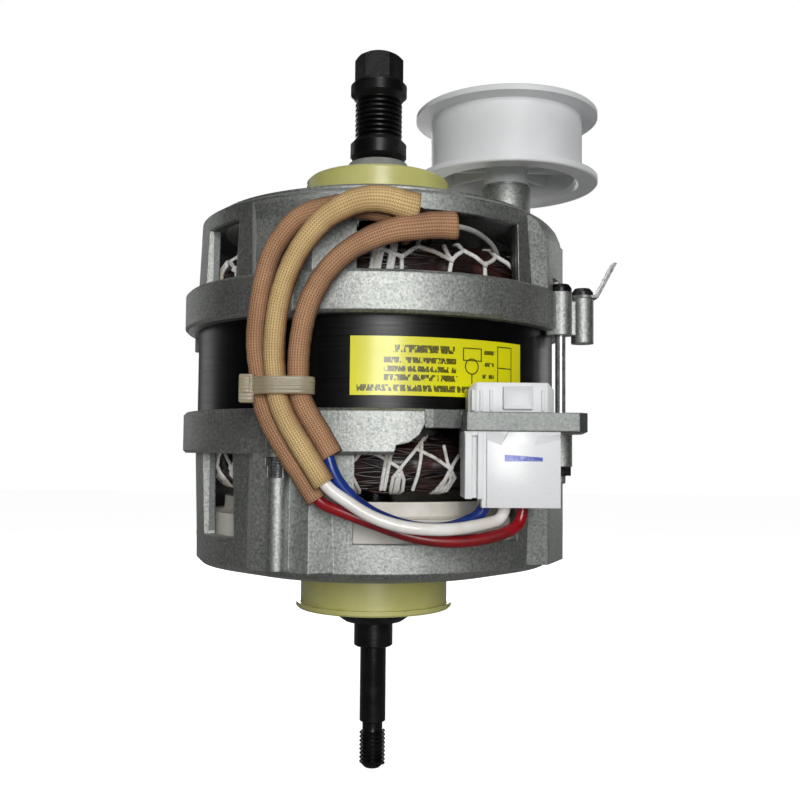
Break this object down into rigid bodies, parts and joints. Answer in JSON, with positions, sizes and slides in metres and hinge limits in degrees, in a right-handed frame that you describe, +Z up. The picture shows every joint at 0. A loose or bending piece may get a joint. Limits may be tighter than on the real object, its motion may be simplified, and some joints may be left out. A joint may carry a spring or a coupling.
{
  "type": "dryer motor",
  "caption": "Dryer drive motor with cast end shields, ribbed belt spindle, flanged belt idler, fan shaft, sleeved leads and a panel connector.",
  "frame": {"origin": "on the shaft axis at the lower end of the lower mount ring's clamping seat, level with the top of its lip", "axes": "+Z up along the shaft towards the belt spindle, -Y towards the label and the leads, +X towards the belt idler's side"},
  "size_m": [0.1337, 0.1274, 0.2244],
  "materials": {
    "cast_shield": "as cast, fine speckle",
    "black_core": "black gloss varnish",
    "winding": "varnished dark copper wire",
    "lacing": "waxed white cord",
    "rotor_steel": "laminated",
    "rotor_cage": "die cast",
    "black_steel": "blackened, semi gloss",
    "black_pulley": "blackened, semi gloss",
    "bearing_steel": "ground",
    "cream_ring": "moulded, slightly waxy",
    "grey_seal": "moulded",
    "black_seal": "matt",
    "white_moulding": "moulded, soft gloss",
    "zinc_steel": "zinc plated",
    "black_screw": "blackened",
    "brass_pin": "tinned brass",
    "yellow_label": "printed film",
    "clear_nylon": "translucent nylon",
    "sleeve_pink": "woven glass sleeve, varnished",
    "sleeve_gold": "woven glass sleeve, varnished",
    "wire_red": "extruded insulation",
    "wire_white": "extruded insulation",
    "wire_blue": "extruded insulation"
  },
  "bodies": {
    "stator": {"lower_end_shield": "cast_shield", "upper_end_shield": "cast_shield", "stator_core": "black_core", "main_winding": "winding", "upper_lacing": "lacing", "lower_lacing": "lacing", "lower_bearing_outer_race": "bearing_steel", "lower_bearing_balls": "bearing_steel", "upper_bearing_outer_race": "bearing_steel", "upper_bearing_balls": "bearing_steel", "preload_washer": "bearing_steel", "upper_mount_ring": "cream_ring", "lower_mount_ring": "cream_ring", "upper_seal_cup": "grey_seal", "lower_dust_disc": "black_seal", "idler_pin": "zinc_steel", "idler_washer": "black_seal", "idler_clip": "zinc_steel", "through_bolts": "black_screw", "bolt_nuts": "zinc_steel", "earth_screw": "zinc_steel", "earth_tab": "zinc_steel", "connector_housing": "white_moulding", "connector_pins": "brass_pin", "rating_label": "yellow_label", "fan_guide": "white_moulding", "cable_tie": "clear_nylon", "sleeve_outer": "sleeve_pink", "sleeve_middle": "sleeve_gold", "sleeve_inner": "sleeve_pink", "wire_red": "wire_red", "wire_white": "wire_white", "wire_blue": "wire_blue"},
    "rotor": {"shaft": "black_steel", "rotor_core": "rotor_steel", "rotor_cage": "rotor_cage", "drive_pulley": "black_pulley", "lower_bearing_inner_race": "bearing_steel", "upper_bearing_inner_race": "bearing_steel"},
    "idler": {"idler_pulley": "white_moulding"}
  },
  "joints": [
    {"name": "rotor_spin", "type": "hinge", "parent": "stator", "child": "rotor", "pos_m": [0, 0, 0.0712], "axis": [0, 0, 1], "continuous": true},
    {"name": "idler_spin", "type": "hinge", "parent": "stator", "child": "idler", "pos_m": [0.0438, 0.02, 0.1507], "axis": [0, 0, 1], "continuous": true}
  ]
}
